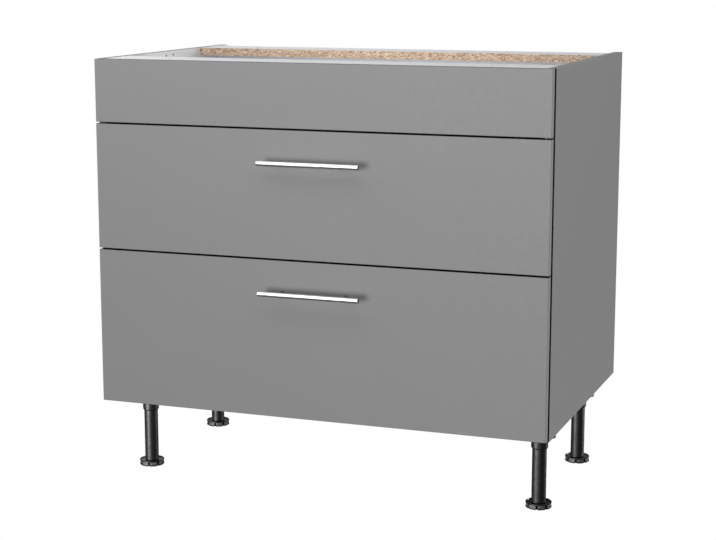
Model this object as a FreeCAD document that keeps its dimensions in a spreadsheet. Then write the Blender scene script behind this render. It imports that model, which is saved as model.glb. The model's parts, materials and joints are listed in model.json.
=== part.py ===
import FreeCAD, Part
import Sketcher
import math
import os

# Base cabinet with drawers: a kitchen base unit on four screw-in legs, with a
# fixed blind panel over two deep drawers on three-part runners.
# Millimetres. +X right, the front faces -Y, +Z up, Z = 0 on the floor.
# The origin is under the middle of the whole object's box.

Vec = FreeCAD.Vector
doc = FreeCAD.newDocument("BaseCabinet")
sheet = doc.addObject("Spreadsheet::Sheet", "Dims")


class Size:
    """A number together with the expression that drives it."""

    def __init__(self, value, text):
        self.value = float(value)
        self.text = text

    def __add__(self, other):
        other = size(other)
        return Size(self.value + other.value, "(%s + %s)" % (self.text, other.text))

    def __radd__(self, other):
        return size(other) + self

    def __sub__(self, other):
        other = size(other)
        return Size(self.value - other.value, "(%s - %s)" % (self.text, other.text))

    def __rsub__(self, other):
        return size(other) - self

    def __mul__(self, other):
        other = size(other)
        return Size(self.value * other.value, "(%s * %s)" % (self.text, other.text))

    def __rmul__(self, other):
        return size(other) * self

    def __truediv__(self, other):
        other = size(other)
        return Size(self.value / other.value, "(%s / %s)" % (self.text, other.text))

    def __neg__(self):
        return Size(-self.value, "(0 - %s)" % self.text)


def size(value):
    if isinstance(value, Size):
        return value
    return Size(value, "%.6g" % float(value))


class Dims:
    pass


D = Dims()
DIMENSIONS = [
    ("cabinet_width", 900.0),
    ("carcass_depth", 566.0),
    ("carcass_tall", 674.0),
    ("carcass_front", -256.5),
    ("board_thick", 16.0),
    ("leg_tall", 158.0),
    ("front_gap", 2.0),
    ("front_thick", 16.0),
    ("front_reveal", 2.0),
    ("front_low", 3.0),
    ("front_joint", 3.0),
    ("lower_front_tall", 302.8),
    ("upper_front_tall", 242.0),
    ("edge_round", 0.9),
    ("rail_deep", 90.0),
    ("rear_rail_front", 423.0),
    ("back_front", 513.0),
    ("back_thick", 3.0),
    ("groove_wide", 3.2),
    ("groove_deep", 6.0),
    ("handle_long", 200.0),
    ("handle_radius", 5.0),
    ("handle_reach", 30.0),
    ("handle_pitch", 128.0),
    ("handle_drop", 60.0),
    ("post_radius", 3.5),
    ("leg_inset", 43.0),
    ("leg_front_row", 105.0),
    ("leg_rear_row", 427.0),
    ("plate_thick", 5.0),
    ("plate_lobe", 10.5),
    ("collar_radius", 16.15),
    ("collar_tall", 43.0),
    ("tube_radius", 13.8),
    ("tube_bore", 11.4),
    ("foot_radius", 24.8),
    ("foot_tall", 11.0),
    ("stem_radius", 4.9),
    ("stem_tall", 48.0),
    ("runner_long", 450.0),
    ("runner_set", 3.0),
    ("runner_thick", 13.0),
    ("runner_tall", 45.6),
    ("runner_sheet", 1.2),
    ("runner_rise", 37.0),
    ("wall_sheet", 1.2),
    ("wall_tall", 118.0),
    ("wall_long", 449.5),
    ("base_thick", 16.0),
    ("drawer_back_tall", 186.0),
    ("rod_radius", 5.0),
    ("rod_rise", 186.0),
    ("lower_base", 31.0),
    ("upper_base", 334.0),
    ("system_pitch", 32.0),
    ("system_first", 260.0),
    ("system_radius", 2.5),
    ("system_drop", 8.6),
    ("rail_hole_radius", 2.5),
    ("rail_hole_pitch", 640.0),
]
for row, (alias, value) in enumerate(DIMENSIONS, start=1):
    sheet.set("A%d" % row, alias.replace("_", " "))
    sheet.set("B%d" % row, "%g" % value)
    sheet.setAlias("B%d" % row, alias)
    setattr(D, alias, Size(value, "Dims.%s" % alias))
doc.recompute()

NODES = []      # objects that are written as sub-parts
CUTS = []       # (body, feature before, feature after, volume that must go)


# --------------------------------------------------------------- helpers

def new_body(label, node=True):
    body = doc.addObject("PartDesign::Body", label)
    body.Label = label
    if node:
        NODES.append(body)
    return body


def place(item, x, y, z, rotation=None):
    x, y, z = size(x), size(y), size(z)
    item.Placement = FreeCAD.Placement(
        Vec(x.value, y.value, z.value), rotation or FreeCAD.Rotation()
    )
    item.setExpression("Placement.Base.x", x.text)
    item.setExpression("Placement.Base.y", y.text)
    item.setExpression("Placement.Base.z", z.text)


def new_sketch(body, role, offset=None):
    sketch = body.newObject("Sketcher::SketchObject", body.Label + "_sketch")
    plane = [f for f in body.Origin.OriginFeatures if f.Role == role][0]
    sketch.AttachmentSupport = [(plane, "")]
    sketch.MapMode = "FlatFace"
    if offset is not None:
        offset = size(offset)
        sketch.AttachmentOffset = FreeCAD.Placement(
            Vec(0, 0, offset.value), FreeCAD.Rotation()
        )
        sketch.setExpression("AttachmentOffset.Base.z", offset.text)
    return sketch


def bind(sketch, constraint, value):
    """Add a dimension constraint and drive it from the sheet."""
    index = sketch.addConstraint(constraint)
    if "Dims." in value.text:
        sketch.setExpression("Constraints[%d]" % index, value.text)
    return index


def pin(sketch, geometry, point, x, y):
    """Fix one point of the sketch at (x, y) from its origin."""
    if x.value == 0.0:
        sketch.addConstraint(Sketcher.Constraint("PointOnObject", geometry, point, -2))
    else:
        bind(sketch, Sketcher.Constraint("DistanceX", -1, 1, geometry, point, x.value), x)
    if y.value == 0.0:
        sketch.addConstraint(Sketcher.Constraint("PointOnObject", geometry, point, -1))
    else:
        bind(sketch, Sketcher.Constraint("DistanceY", -1, 1, geometry, point, y.value), y)


def draw_polygon(sketch, points):
    points = [(size(x), size(y)) for x, y in points]
    first = sketch.GeometryCount
    count = len(points)
    for i in range(count):
        a, b = points[i], points[(i + 1) % count]
        sketch.addGeometry(
            Part.LineSegment(Vec(a[0].value, a[1].value, 0), Vec(b[0].value, b[1].value, 0)),
            False,
        )
    for i in range(count):
        sketch.addConstraint(
            Sketcher.Constraint("Coincident", first + i, 2, first + (i + 1) % count, 1)
        )
    for i, (x, y) in enumerate(points):
        pin(sketch, first + i, 1, x, y)


def draw_rectangle(sketch, x0, y0, x1, y1):
    draw_polygon(sketch, [(x0, y0), (x1, y0), (x1, y1), (x0, y1)])


def draw_circle(sketch, x, y, radius):
    x, y, radius = size(x), size(y), size(radius)
    index = sketch.addGeometry(
        Part.Circle(Vec(x.value, y.value, 0), Vec(0, 0, 1), radius.value), False
    )
    bind(sketch, Sketcher.Constraint("Radius", index, radius.value), radius)
    pin(sketch, index, 3, x, y)


def pad(body, sketch, length, reverse=False, middle=False):
    length = size(length)
    feature = body.newObject("PartDesign::Pad", body.Label + "_pad")
    feature.Profile = sketch
    feature.Length = length.value
    if "Dims." in length.text:
        feature.setExpression("Length", length.text)
    feature.Reversed = reverse
    if middle:
        feature.Midplane = True
    return feature


def pocket(body, sketch, length, reverse=False, removes=None):
    length = size(length)
    before = body.Tip
    feature = body.newObject("PartDesign::Pocket", body.Label + "_pocket")
    feature.Profile = sketch
    feature.Length = length.value
    if "Dims." in length.text:
        feature.setExpression("Length", length.text)
    feature.Reversed = reverse
    CUTS.append((body, before, feature, removes))
    return feature


def drill(body, role, offset, points, radius, depth, reverse=False, meets=False):
    """Round holes of one size, all from one plane; meets says that they run
    into other holes, so that they take less than their own volume."""
    sketch = new_sketch(body, role, offset)
    for x, y in points:
        draw_circle(sketch, x, y, radius)
    removed = len(points) * math.pi * size(radius).value ** 2 * size(depth).value
    return pocket(body, sketch, depth, reverse, None if meets else removed)


def round_edges(body, radius, wanted):
    """Round the edges for which wanted(edge) is true, on the body's tip."""
    doc.recompute()
    tip = body.Tip
    names = [
        "Edge%d" % (i + 1) for i, edge in enumerate(tip.Shape.Edges) if wanted(edge)
    ]
    feature = body.newObject("PartDesign::Fillet", body.Label + "_fillet")
    feature.Base = (tip, names)
    feature.Radius = size(radius).value
    feature.setExpression("Radius", size(radius).text)
    return feature


def box_body(label, lx, ly, lz, x, y, z, node=True):
    """A plain board: corner at its own origin, then placed."""
    body = new_body(label, node)
    sketch = new_sketch(body, "XY_Plane")
    draw_rectangle(sketch, 0, 0, lx, ly)
    pad(body, sketch, lz)
    place(body, x, y, z)
    return body


def turned_body(label, profile, node=True):
    """A turned piece: (radius, height) points, revolved about its own Z."""
    body = new_body(label, node)
    sketch = new_sketch(body, "XZ_Plane")
    draw_polygon(sketch, profile)
    feature = body.newObject("PartDesign::Revolution", label + "_turn")
    feature.Profile = sketch
    feature.ReferenceAxis = (sketch, ["V_Axis"])
    feature.Angle = 360.0
    return body


def group(label, master, places):
    """Copies of one fastener, kept as separate solids in one sub-part."""
    links = []
    for i, (x, y, z, rotation) in enumerate(places):
        link = doc.addObject("App::Link", "%s_%d" % (label, i + 1))
        link.LinkedObject = master
        link.LinkTransform = False
        place(link, x, y, z, rotation)
        links.append(link)
    compound = doc.addObject("Part::Compound", label)
    compound.Label = label
    compound.Links = links
    NODES.append(compound)
    return compound


def turn(axis, degrees):
    return FreeCAD.Rotation(Vec(*axis), degrees)


UPRIGHT = turn((1, 0, 0), 0)            # +Z stays up
DOWN = turn((1, 0, 0), 180)             # +Z points down
TO_FRONT = turn((1, 0, 0), 90)          # +Z points to -Y
TO_BACK = turn((1, 0, 0), -90)          # +Z points to +Y
TO_RIGHT = turn((0, 1, 0), 90)          # +Z points to +X
TO_LEFT = turn((0, 1, 0), -90)          # +Z points to -X


def depth(y):
    """Y in the part's frame of a depth behind the carcass's front edges."""
    return D.carcass_front + y


def tall(z):
    """Z in the part's frame of a height over the carcass's underside."""
    return D.leg_tall + z


half = D.cabinet_width / 2
inner = half - D.board_thick                    # half the clear width
rail_level = D.carcass_tall - D.board_thick     # underside of the top rails
board_mid = D.board_thick / 2

lower_front_low = D.front_low
upper_front_low = lower_front_low + D.lower_front_tall + D.front_joint
fascia_low = upper_front_low + D.upper_front_tall + D.front_joint
lower_handle = lower_front_low + D.lower_front_tall - D.handle_drop
upper_handle = upper_front_low + D.upper_front_tall - D.handle_drop

SIDES = [("left", -1), ("right", 1)]
DRAWERS = [
    ("lower", D.lower_base, lower_front_low, D.lower_front_tall, lower_handle),
    ("upper", D.upper_base, upper_front_low, D.upper_front_tall, upper_handle),
]
ROWS = [("front", D.leg_front_row), ("rear", D.leg_rear_row)]

# depths of the fittings, behind the carcass's front edges
RUNNER_SCREWS = [37.0, 261.0, 421.0]
BASE_CAMS = [25.0, 497.0]
BASE_DOWELS = [92.0, 256.0, 435.0]
FRONT_RAIL_CAM, FRONT_RAIL_DOWEL = 62.0, 25.0
REAR_RAIL_CAM, REAR_RAIL_DOWEL = 450.0, 487.0
BRACKET_HEIGHTS = [598.0, 622.0]
CAM_SET = 34.0                                  # cam axis from the board's end
# the leg plates' screws from the leg's axis: (towards the cabinet's outside, back)
LOBES = [(32.5, -53.0), (-40.0, -16.0), (6.0, 50.0)]

# ------------------------------------------------------- side panels

for side, sign in SIDES:
    body = box_body(
        "side_panel_" + side,
        D.board_thick, D.carcass_depth, D.carcass_tall,
        -half if sign < 0 else inner, depth(0), tall(0),
    )
    inner_face = D.board_thick if sign < 0 else size(0)
    reverse = sign > 0                          # holes run into the board

    # groove for the back panel, over the full height
    sketch = new_sketch(body, "XY_Plane")
    if sign < 0:
        x0, x1 = D.board_thick - D.groove_deep, D.board_thick
    else:
        x0, x1 = size(0), D.groove_deep
    draw_rectangle(sketch, x0, D.back_front, x1, D.back_front + D.groove_wide)
    pocket(
        body, sketch, D.carcass_tall, True,
        D.groove_deep.value * D.groove_wide.value * D.carcass_tall.value,
    )

    # bolt and runner-screw holes, with the two fixing holes near the top
    points = [
        (D.system_first, D.carcass_tall - D.system_drop),
        (D.system_first + D.system_pitch, D.carcass_tall - D.system_drop),
    ]
    for name, base, low, high, grip in DRAWERS:
        for y in RUNNER_SCREWS:
            points.append((y, base + D.runner_rise))
    for y in BASE_CAMS:
        points.append((y, board_mid))
    points.append((FRONT_RAIL_CAM, rail_level + board_mid))
    points.append((REAR_RAIL_CAM, rail_level + board_mid))
    drill(body, "YZ_Plane", inner_face, points, D.system_radius, 11.0, reverse)

    # dowel holes
    points = [(y, board_mid) for y in BASE_DOWELS]
    points.append((FRONT_RAIL_DOWEL, rail_level + board_mid))
    points.append((REAR_RAIL_DOWEL, rail_level + board_mid))
    drill(body, "YZ_Plane", inner_face, points, 4.0, 12.0, reverse)

    # pilot holes for the blind panel's angle
    drill(
        body, "YZ_Plane", inner_face,
        [(28.0, z) for z in BRACKET_HEIGHTS], 1.8, 13.0, reverse,
    )

    # pilot holes in the lower edge, for the leg plates' outer screws
    out, back = LOBES[0]
    edge_x = D.leg_inset - out if sign < 0 else D.board_thick - D.leg_inset + out
    drill(
        body, "XY_Plane", None,
        [(edge_x, y + back) for y in (D.leg_front_row, D.leg_rear_row)], 1.8, 12.0, True,
    )

    # softened front edges, as edge tape leaves them
    def outer_edge(edge):
        a = edge.Vertexes[0].Point
        b = edge.Vertexes[-1].Point
        return a.y < 0.01 and b.y < 0.01 and (a - b).Length > 600

    round_edges(body, D.edge_round, outer_edge)

# -------------------------------------------------------- bottom panel

bottom = box_body(
    "bottom_panel", 2 * inner, D.back_front, D.board_thick, -inner, depth(0), tall(0)
)
for face, reverse in ((size(0), True), (2 * inner, False)):
    # dowel holes and bolt holes in the board's ends
    drill(bottom, "YZ_Plane", face, [(y, board_mid) for y in BASE_DOWELS], 4.0, 18.0, reverse)
    drill(bottom, "YZ_Plane", face, [(y, board_mid) for y in BASE_CAMS], 3.6, 28.0, reverse)
drill(
    bottom, "XY_Plane", None,
    [(x, y) for x in (size(CAM_SET), 2 * inner - CAM_SET) for y in BASE_CAMS],
    7.5, 13.0, True, True,
)
points = []
for row, y in ROWS:
    for side, sign in SIDES:
        centre = D.leg_inset - D.board_thick if sign < 0 else 2 * inner + D.board_thick - D.leg_inset
        points += [(centre + out * sign, y + back) for out, back in LOBES[1:]]
drill(bottom, "XY_Plane", None, points, 1.8, 12.0, True)
BACK_SCREWS = [100.0, 323.0, 545.0, 768.0]
drill(
    bottom, "XZ_Plane", -D.back_front,
    [(x, board_mid) for x in BACK_SCREWS], 1.8, 14.0, True,
)

# ------------------------------------------------------------ top rails

front_rail = box_body(
    "front_rail", 2 * inner, D.rail_deep, D.board_thick, -inner, depth(0), tall(rail_level)
)
rear_rail = box_body(
    "rear_rail", 2 * inner, D.back_front - D.rear_rail_front, D.board_thick,
    -inner, depth(D.rear_rail_front), tall(rail_level),
)
RAIL_FITTINGS = [
    (front_rail, size(FRONT_RAIL_CAM), size(FRONT_RAIL_DOWEL), D.rail_deep / 2),
    (rear_rail, REAR_RAIL_CAM - D.rear_rail_front, REAR_RAIL_DOWEL - D.rear_rail_front,
     (D.back_front - D.rear_rail_front) / 2),
]
for rail, cam, dowel, middle in RAIL_FITTINGS:
    for face, reverse in ((size(0), True), (2 * inner, False)):
        drill(rail, "YZ_Plane", face, [(dowel, board_mid)], 4.0, 18.0, reverse)
        drill(rail, "YZ_Plane", face, [(cam, board_mid)], 3.6, 28.0, reverse)
    drill(
        rail, "XY_Plane", None,
        [(size(CAM_SET), cam), (2 * inner - CAM_SET, cam)], 7.5, 13.0, True, True,
    )
    # two holes for the worktop's screws
    drill(
        rail, "XY_Plane", None,
        [(inner - D.rail_hole_pitch / 2, middle), (inner + D.rail_hole_pitch / 2, middle)],
        D.rail_hole_radius, D.board_thick, True,
    )
drill(
    rear_rail, "XZ_Plane", D.rear_rail_front - D.back_front,
    [(x, board_mid) for x in BACK_SCREWS], 1.8, 14.0, True,
)

# ----------------------------------------------------------- back panel

back_half = inner + D.groove_deep - 0.5
back = box_body(
    "back_panel", 2 * back_half, D.back_thick, D.carcass_tall,
    -back_half, depth(D.back_front + 0.1), tall(0),
)
back_shift = D.groove_deep - 0.5
drill(
    back, "XZ_Plane", None,
    [(back_shift + x, z) for x in BACK_SCREWS for z in (board_mid, rail_level + board_mid)],
    2.1, D.back_thick, False,
)

# --------------------------------------------- fixed panel at the top

front_half = half - D.front_reveal


def front_board(label, low, high):
    body = box_body(
        label, 2 * front_half, D.front_thick, high,
        -front_half, depth(-D.front_gap - D.front_thick), tall(low),
    )
    return body


def round_front(body):
    """Round the outer face's four edges and the four corners' edges."""
    deep = D.front_thick.value

    def visible(edge):
        a, b = edge.Vertexes[0].Point, edge.Vertexes[-1].Point
        if (a - b).Length < 10:
            return False
        if edge.Curve.TypeId != "Part::GeomLine":
            return False
        at_front = a.y < 0.01 and b.y < 0.01
        corner = abs(a.x - b.x) < 0.01 and abs(a.z - b.z) < 0.01 and (a - b).Length > deep - 0.5
        return at_front or corner

    round_edges(body, D.edge_round, visible)


fascia_tall = D.carcass_tall - fascia_low
fascia = front_board("top_fascia", fascia_low, fascia_tall)
BRACKET_IN = 18.0                               # screws, in from the side panel
drill(
    fascia, "XZ_Plane", -D.front_thick,
    [(x, z - fascia_low)
     for x in (D.board_thick - D.front_reveal + BRACKET_IN,
               2 * front_half - D.board_thick + D.front_reveal - BRACKET_IN)
     for z in BRACKET_HEIGHTS],
    1.8, 12.0, True,
)
round_front(fascia)


# steel angles from the side panels to the fixed panel
def bracket(sign):
    name = "left" if sign < 0 else "right"
    body = new_body("fascia_angle_" + name, False)
    sketch = new_sketch(body, "XY_Plane")
    profile = [(0, 0), (30, 0), (30, 2), (2, 2), (2, 42), (0, 42)]
    if sign > 0:
        profile = [(30 - x, y) for x, y in profile]
    draw_polygon(sketch, profile)
    pad(body, sketch, 44.0)
    drill(body, "XZ_Plane", None,
          [(BRACKET_IN if sign < 0 else 30 - BRACKET_IN, z - 588.0) for z in BRACKET_HEIGHTS],
          1.9, 2.0, False)
    drill(body, "YZ_Plane", 0 if sign < 0 else 30.0,
          [(30.0, z - 588.0) for z in BRACKET_HEIGHTS], 1.9, 2.0, sign < 0)
    place(body, -inner if sign < 0 else inner - 30, depth(-D.front_gap), tall(588))
    return body


angles = [bracket(-1), bracket(1)]
fascia_brackets = doc.addObject("Part::Compound", "fascia_brackets")
fascia_brackets.Label = "fascia_brackets"
fascia_brackets.Links = angles
NODES.append(fascia_brackets)

# --------------------------------------------------------- fasteners

dowel = turned_body("dowel", [(0, 0), (3.4, 0), (3.95, 0.8), (3.95, 28.2), (3.4, 29), (0, 29)], False)
places = []
for side, sign in SIDES:
    start = inner * sign + (11.5 * sign)        # inside the side panel's hole
    rotation = TO_LEFT if sign > 0 else TO_RIGHT
    for y in BASE_DOWELS:
        places.append((start, depth(y), tall(board_mid), rotation))
    for y in (FRONT_RAIL_DOWEL, REAR_RAIL_DOWEL):
        places.append((start, depth(y), tall(rail_level + board_mid), rotation))
group("carcass_dowels", dowel, places)

bolt = turned_body(
    "cam_bolt",
    [(0, 0), (2.4, 0), (2.4, 10.5), (3.4, 10.5), (3.4, 12.5), (2.6, 12.5), (2.6, 36), (3.3, 37.5),
     (3.3, 40.5), (2.4, 42), (0, 42)], False,
)
cam_lock = turned_body(
    "cam_lock", [(0, 0), (6.8, 0), (7.4, 0.6), (7.4, 12.4), (0, 12.4)], False
)
sketch = new_sketch(cam_lock, "YZ_Plane", 8.0)  # slot that takes the bolt's head
draw_circle(sketch, 0, board_mid, 3.8)
pocket(cam_lock, sketch, 12.0, False, None)
sketch = new_sketch(cam_lock, "XY_Plane")       # cross recess for the driver
draw_rectangle(sketch, 0, 0, 1.2, 3.2)
pocket(cam_lock, sketch, 2.0, True, None)

bolts, locks = [], []
for side, sign in SIDES:
    start = inner * sign + (10.5 * sign)
    lock_x = (inner - CAM_SET) * sign
    rotation = TO_LEFT if sign > 0 else TO_RIGHT
    spin = turn((0, 0, 1), 0 if sign > 0 else 180)
    for y, z in (
        [(y, size(0)) for y in BASE_CAMS]
        + [(FRONT_RAIL_CAM, rail_level), (REAR_RAIL_CAM, rail_level)]
    ):
        bolts.append((start, depth(y), tall(z + board_mid), rotation))
        locks.append((lock_x, depth(y), tall(z), spin))
group("cam_bolts", bolt, bolts)
group("cam_locks", cam_lock, locks)

# countersunk-style round-head screws, head on +Z at the origin plane
wood_screw = turned_body(
    "wood_screw",
    [(0, -11.0), (1.7, -8.6), (1.7, 0), (3.4, 0), (3.4, 1.0), (2.4, 1.9), (1.0, 2.1),
     (1.0, 1.2), (0, 1.2)], False,
)
places = []
for x in BACK_SCREWS:
    for z in (board_mid, rail_level + board_mid):
        places.append((x - inner, depth(D.back_front + 0.1 + D.back_thick), tall(z), TO_BACK))
group("back_panel_screws", wood_screw, places)

places = []
for side, sign in SIDES:
    for z in BRACKET_HEIGHTS:
        places.append(((inner - BRACKET_IN) * sign, depth(0), tall(z), TO_BACK))
        places.append(((inner - 2) * sign, depth(28), tall(z), TO_LEFT if sign > 0 else TO_RIGHT))
    for row, y in ROWS:
        axis = (half - D.leg_inset) * sign
        for out, back in LOBES:
            places.append((axis + out * sign, depth(y + back), tall(-D.plate_thick), DOWN))
group("chipboard_screws", wood_screw, places)

runner_screw = turned_body(
    "runner_screw",
    [(0, -9.6), (1.6, -9.6), (2.4, -8.6), (2.4, 0), (4.2, 0), (4.2, 0.5), (3.4, 1.0), (0, 1.0)],
    False,
)
places = []
for side, sign in SIDES:
    for name, base, low, high, grip in DRAWERS:
        for y in RUNNER_SCREWS:
            places.append((
                (inner - D.runner_sheet) * sign, depth(y), tall(base + D.runner_rise),
                TO_LEFT if sign > 0 else TO_RIGHT,
            ))
group("runner_screws", runner_screw, places)

bumper = turned_body(
    "bumper", [(0, 0), (4.0, 0), (4.0, 0.7), (3.0, 1.4), (0, 1.5)], False
)
places = []
for side, sign in SIDES:
    for name, base, low, high, grip in DRAWERS:
        for z in (low + 22, low + high - 22):
            places.append(((half - board_mid) * sign, depth(0), tall(z), TO_FRONT))
group("front_bumpers", bumper, places)

# ------------------------------------------------------- drawer runners


def channel(label, reach_in, reach_out, tall_half, x, z, holes, sign):
    """One member of a runner: a folded C-section along Y.

    reach_in is the web's side nearest the side panel and reach_out the far
    end of its flanges, both from the side panel, and the web's side is the
    first of them. tall_half is half the section's height.
    """
    body = new_body(label)
    sheet_thick = D.runner_sheet
    wide = size(abs(reach_out - reach_in))
    high = 2 * tall_half
    web_first = reach_out > reach_in
    profile = [
        (size(0), size(0)), (wide, size(0)), (wide, sheet_thick), (sheet_thick, sheet_thick),
        (sheet_thick, high - sheet_thick), (wide, high - sheet_thick), (wide, high), (size(0), high),
    ]
    flip = (sign > 0) == web_first
    if flip:
        profile = [(wide - px, py) for px, py in profile]
    sketch = new_sketch(body, "XZ_Plane")
    draw_polygon(sketch, profile)
    pad(body, sketch, D.runner_long, True)
    if holes:
        at = wide - sheet_thick if flip else size(0)
        drill(body, "YZ_Plane", at, [(y - D.runner_set, tall_half) for y in holes],
              2.6, sheet_thick, True)
    place(body, x, depth(D.runner_set), tall(z - tall_half))
    return body


for side, sign in SIDES:
    for name, base, low, high, grip in DRAWERS:
        level = base + D.runner_rise
        # fixed member on the side panel
        x = -inner if sign < 0 else inner - 11.5
        channel("runner_rail_%s_%s" % (name, side), 0, 11.5, D.runner_tall / 2, x, level,
                RUNNER_SCREWS, sign)
        # middle member, which runs half as far as the drawer
        x = -inner + 3.0 if sign < 0 else inner - 11.0
        channel("runner_mid_%s_%s" % (name, side), 3.0, 11.0, D.runner_tall / 2 - 4.4, x, level,
                None, sign)
        # drawer member, on the drawer's steel wall
        x = -inner + 5.2 if sign < 0 else inner - D.runner_thick
        channel("runner_slide_%s_%s" % (name, side), 13.0, 5.2, D.runner_tall / 2 - 8.8, x, level,
                None, sign)

# --------------------------------------------------------------- drawers

wall_face = inner - D.runner_thick              # the walls' outer faces
FLANGE = 21.0                                   # the walls' foot, inwards
HEM = 9.0                                       # the walls' rolled top, outwards
BASE_SCREWS = [60.0, 225.0, 390.0]
BACK_HEIGHTS = [45.0, 95.0]
PLATE_HEIGHTS = [34.0, 160.0]
PLATE_IN = 10.0

drawer_screw = turned_body(
    "drawer_screw",
    [(0, -12.0), (1.9, -9.8), (1.9, 0), (3.6, 0), (3.6, 0.9), (2.6, 1.8), (1.0, 2.0),
     (1.0, 1.1), (0, 1.1)], False,
)
handle_screw = turned_body(
    "handle_screw",
    [(0, -26.0), (1.5, -26.0), (1.9, -25.4), (1.9, 0), (4.2, 0), (4.2, 1.0), (3.0, 2.2), (1.0, 2.4),
     (1.0, 1.4), (0, 1.4)], False,
)

for name, base, low, high, grip in DRAWERS:
    # front board, with the handle's holes and the brackets' pilot holes
    board = front_board("drawer_front_" + name, low, high)
    drill(
        board, "XZ_Plane", None,
        [(front_half - D.handle_pitch / 2, grip - low), (front_half + D.handle_pitch / 2, grip - low)],
        2.5, D.front_thick, False,
    )
    edge_in = front_half - wall_face + D.wall_sheet
    drill(
        board, "XZ_Plane", -D.front_thick,
        [(x, base + z - low)
         for x in (edge_in + PLATE_IN, 2 * front_half - edge_in - PLATE_IN)
         for z in PLATE_HEIGHTS],
        2.0, 12.0, True,
    )
    round_front(board)

    # handle: a round bar with two posts, threaded for the screws
    handle = new_body("handle_" + name)
    sketch = new_sketch(handle, "YZ_Plane")
    draw_circle(sketch, 0, 0, D.handle_radius)
    pad(handle, sketch, D.handle_long, False, True)
    for shift in (-1, 1):
        sketch = new_sketch(handle, "XZ_Plane")
        # posts from the bar's axis to the front board
        index = sketch.addGeometry(
            Part.Circle(Vec(shift * D.handle_pitch.value / 2, 0, 0), Vec(0, 0, 1),
                        D.post_radius.value), False)
        bind(sketch, Sketcher.Constraint("Radius", index, D.post_radius.value), D.post_radius)
        sketch.addConstraint(Sketcher.Constraint("PointOnObject", index, 3, -1))
        if shift > 0:
            bind(sketch, Sketcher.Constraint("DistanceX", -1, 1, index, 3, D.handle_pitch.value / 2),
                 D.handle_pitch / 2)
        else:
            bind(sketch, Sketcher.Constraint("DistanceX", index, 3, -1, 1, D.handle_pitch.value / 2),
                 D.handle_pitch / 2)
        pad(handle, sketch, D.handle_reach, True)
    for shift in (-1, 1):
        sketch = new_sketch(handle, "XZ_Plane", -D.handle_reach)
        index = sketch.addGeometry(
            Part.Circle(Vec(shift * D.handle_pitch.value / 2, 0, 0), Vec(0, 0, 1), 2.0), False)
        sketch.addConstraint(Sketcher.Constraint("Radius", index, 2.0))
        sketch.addConstraint(Sketcher.Constraint("PointOnObject", index, 3, -1))
        if shift > 0:
            bind(sketch, Sketcher.Constraint("DistanceX", -1, 1, index, 3, D.handle_pitch.value / 2),
                 D.handle_pitch / 2)
        else:
            bind(sketch, Sketcher.Constraint("DistanceX", index, 3, -1, 1, D.handle_pitch.value / 2),
                 D.handle_pitch / 2)
        pocket(handle, sketch, 12.0, True, math.pi * 4.0 * 12.0)
    place(handle, 0, depth(-D.front_gap - D.front_thick - D.handle_reach), tall(grip))
    doc.recompute()
    tip = handle.Tip
    ends = [
        "Edge%d" % (i + 1) for i, edge in enumerate(tip.Shape.Edges)
        if abs(abs(edge.CenterOfMass.x) - D.handle_long.value / 2) < 0.01
        and edge.Length > 10 and len(edge.Vertexes) == 1
    ]
    chamfer = handle.newObject("PartDesign::Chamfer", handle.Label + "_chamfer")
    chamfer.Base = (tip, ends)
    chamfer.Size = 0.4

    group("handle_screws_" + name, handle_screw, [
        (D.handle_pitch / 2 * sign, depth(-D.front_gap), tall(grip), TO_BACK)
        for side, sign in SIDES
    ])

    # steel side walls: foot turned in, top hem turned out
    for side, sign in SIDES:
        wall = new_body("drawer_side_%s_%s" % (name, side))
        sheet_thick = D.wall_sheet
        full = size(HEM + FLANGE)
        profile = [
            (size(HEM), size(0)), (full, size(0)), (full, sheet_thick), (HEM + sheet_thick, sheet_thick),
            (HEM + sheet_thick, D.wall_tall), (size(0), D.wall_tall), (size(0), D.wall_tall - 9.0),
            (sheet_thick, D.wall_tall - 9.0), (sheet_thick, D.wall_tall - sheet_thick),
            (size(HEM), D.wall_tall - sheet_thick),
        ]
        if sign > 0:
            profile = [(full - px, py) for px, py in profile]
        sketch = new_sketch(wall, "XZ_Plane")
        draw_polygon(sketch, profile)
        pad(wall, sketch, D.wall_long, True)
        # rear tab, screwed to the drawer's back
        sketch = new_sketch(wall, "XZ_Plane", -D.wall_long)
        x0, x1 = size(HEM), full
        if sign > 0:
            x0, x1 = full - x0, full - x1
        draw_rectangle(sketch, min(x0, x1, key=lambda q: q.value), 20.0,
                       max(x0, x1, key=lambda q: q.value), D.wall_tall - 8)
        pad(wall, sketch, sheet_thick, False)
        # holes for the base's screws and the back's screws
        hole_x = size(HEM + 13.0) if sign < 0 else full - (HEM + 13.0)
        drill(wall, "XY_Plane", None, [(hole_x, y) for y in BASE_SCREWS], 2.1, sheet_thick, True)
        drill(wall, "XZ_Plane", sheet_thick - D.wall_long, [(hole_x, z) for z in BACK_HEIGHTS],
              2.1, sheet_thick, False)
        x = -wall_face - HEM if sign < 0 else wall_face + HEM - full
        place(wall, x, depth(-1.5), tall(base))

    # base board, on the walls' feet
    base_half = wall_face - D.wall_sheet - 0.2
    base_deep = D.wall_long - D.wall_sheet - 1.9
    floor = box_body(
        "drawer_base_" + name, 2 * base_half, base_deep, D.base_thick,
        -base_half, depth(0.2), tall(base + D.wall_sheet),
    )
    foot_in = 13.0 - D.wall_sheet - 0.2
    drill(
        floor, "XY_Plane", None,
        [(x, y - 1.7) for x in (foot_in, 2 * base_half - foot_in) for y in BASE_SCREWS],
        2.0, 12.0, True,
    )

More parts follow.
